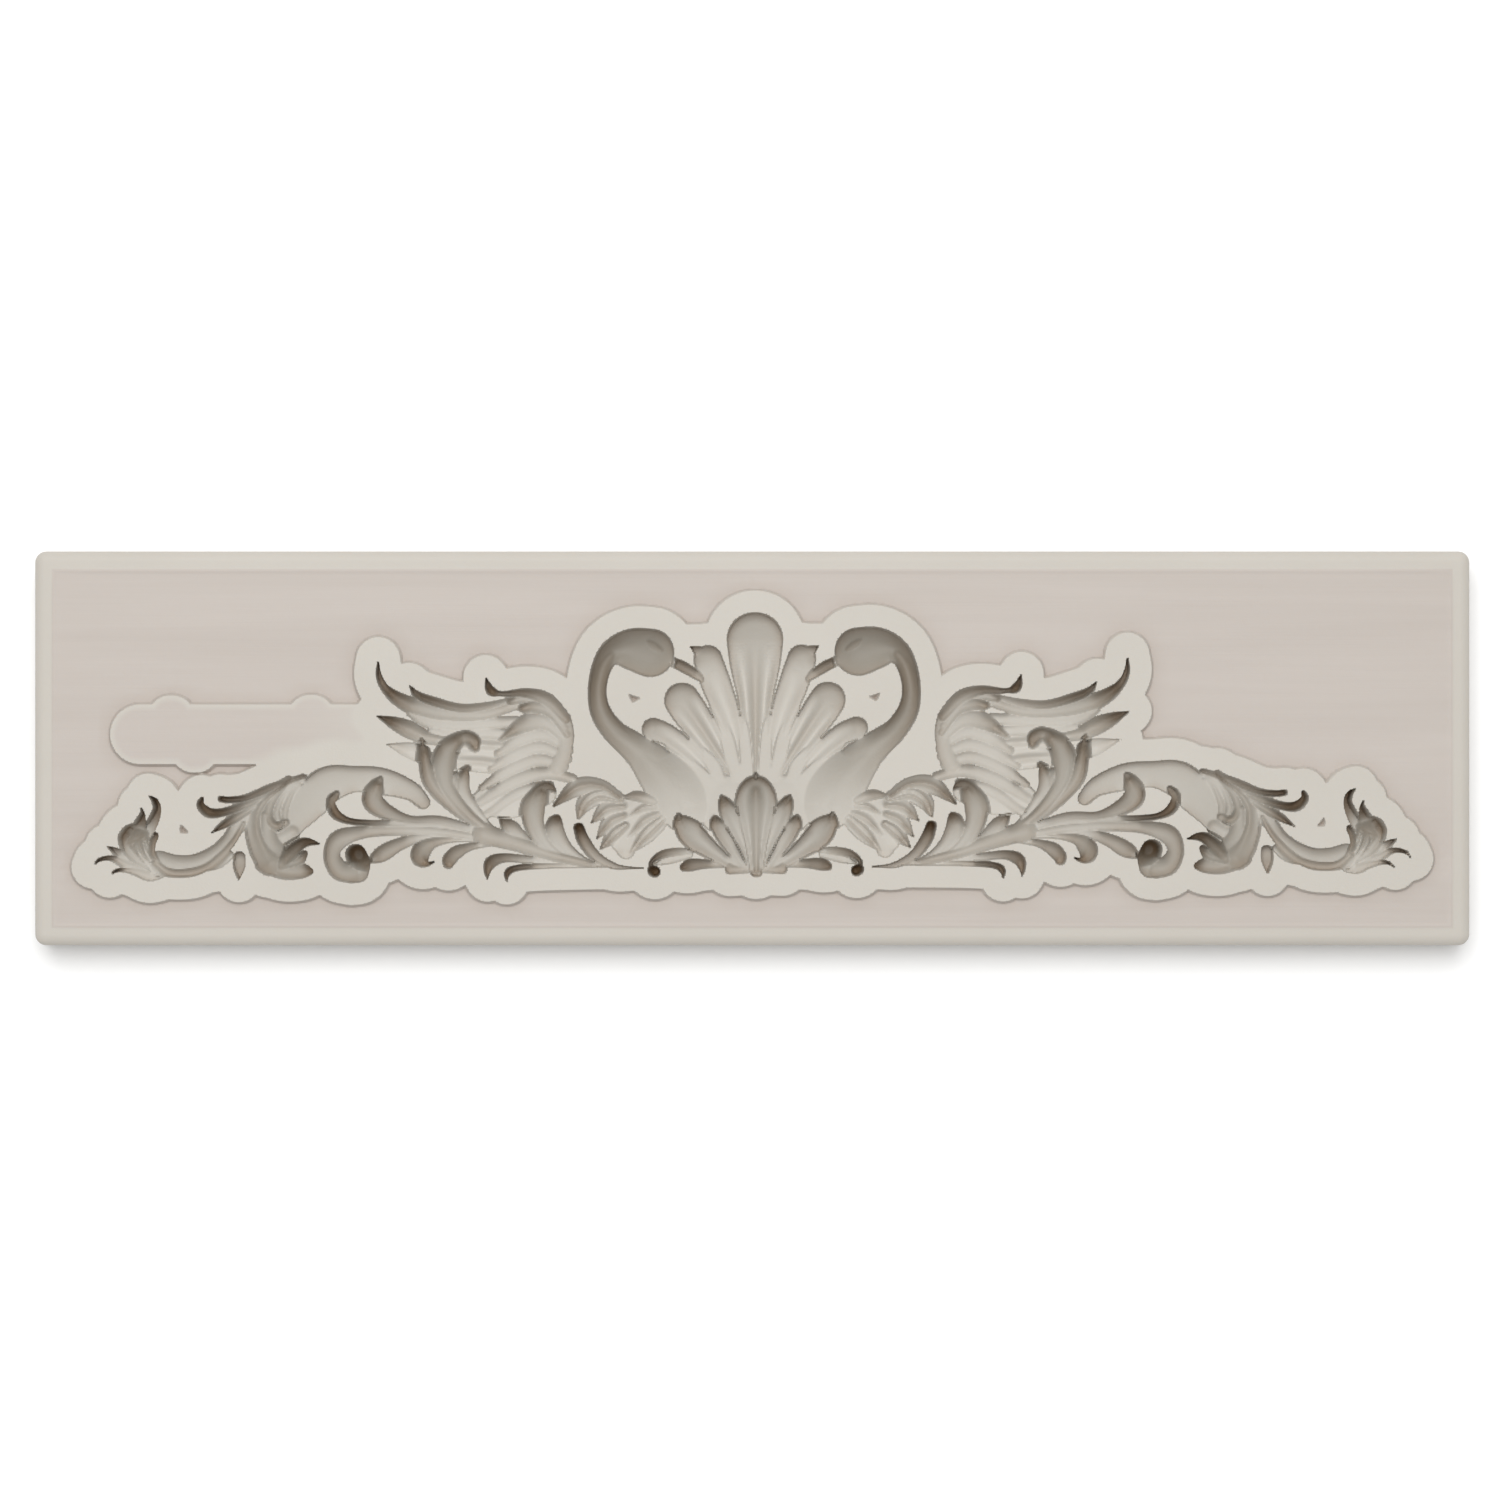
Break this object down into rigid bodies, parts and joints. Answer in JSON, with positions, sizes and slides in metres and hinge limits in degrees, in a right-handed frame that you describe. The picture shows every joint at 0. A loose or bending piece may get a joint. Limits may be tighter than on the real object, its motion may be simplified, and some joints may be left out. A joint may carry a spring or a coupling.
{
  "type": "silicone casting mould",
  "caption": "Flat flexible silicone mould with an open cavity shaped as a carved ornament of swans, shell, wings and leaves, inside a raised scalloped border.",
  "frame": {"origin": "middle of the flat back face that the mould lies on", "axes": "+X along the slab, with the blank tab at -X; +Y towards the top of the ornament; +Z out of the open cavity"},
  "size_m": [0.256, 0.0702, 0.012],
  "materials": {
    "silicone": "matt, warm light grey cast silicone"
  },
  "bodies": {
    "root": {"silicone_mould": "silicone"}
  },
  "joints": []
}
